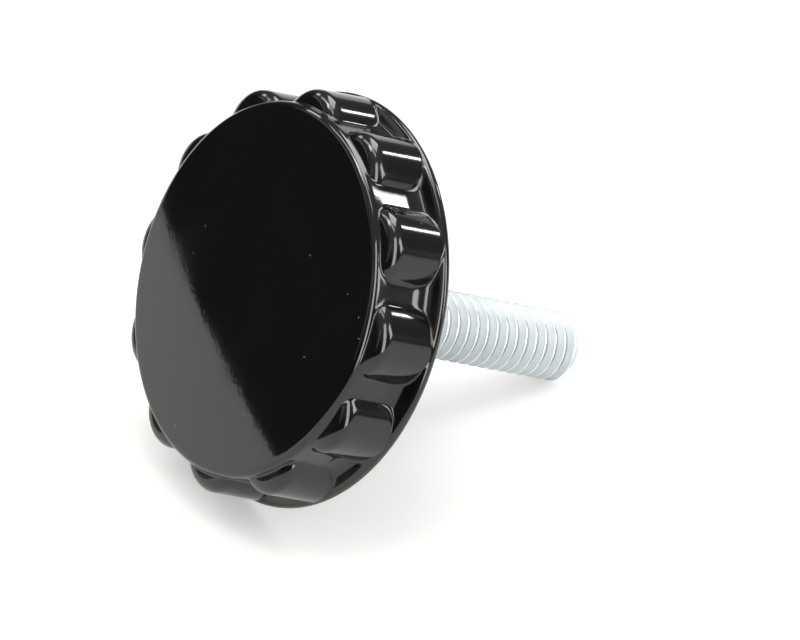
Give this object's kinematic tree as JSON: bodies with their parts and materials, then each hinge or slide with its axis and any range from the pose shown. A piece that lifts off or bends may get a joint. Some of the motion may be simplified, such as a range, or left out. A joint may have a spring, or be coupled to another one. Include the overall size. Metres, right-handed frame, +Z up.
{
  "type": "lobed clamping knob with threaded stud",
  "caption": "Round black moulded knob with rounded grip lobes, a flange and a slightly domed face, on a zinc-plated steel threaded stud for clamping or adjusting by hand.",
  "frame": {"origin": "middle of the part's box on the table, with the knob lying as it comes to rest on its flange and the stud's tip", "axes": "+Z up, +X along the table from the face's side towards the stud's tip; the knob's axis leans in the XZ plane"},
  "size_m": [0.0503, 0.046, 0.0431],
  "materials": {
    "black_moulding": "glossy black thermoset moulding",
    "zinc_plate": "bright blue-white zinc plate on steel"
  },
  "bodies": {
    "root": {"knob_body": "black_moulding", "threaded_stud": "zinc_plate"}
  },
  "joints": []
}
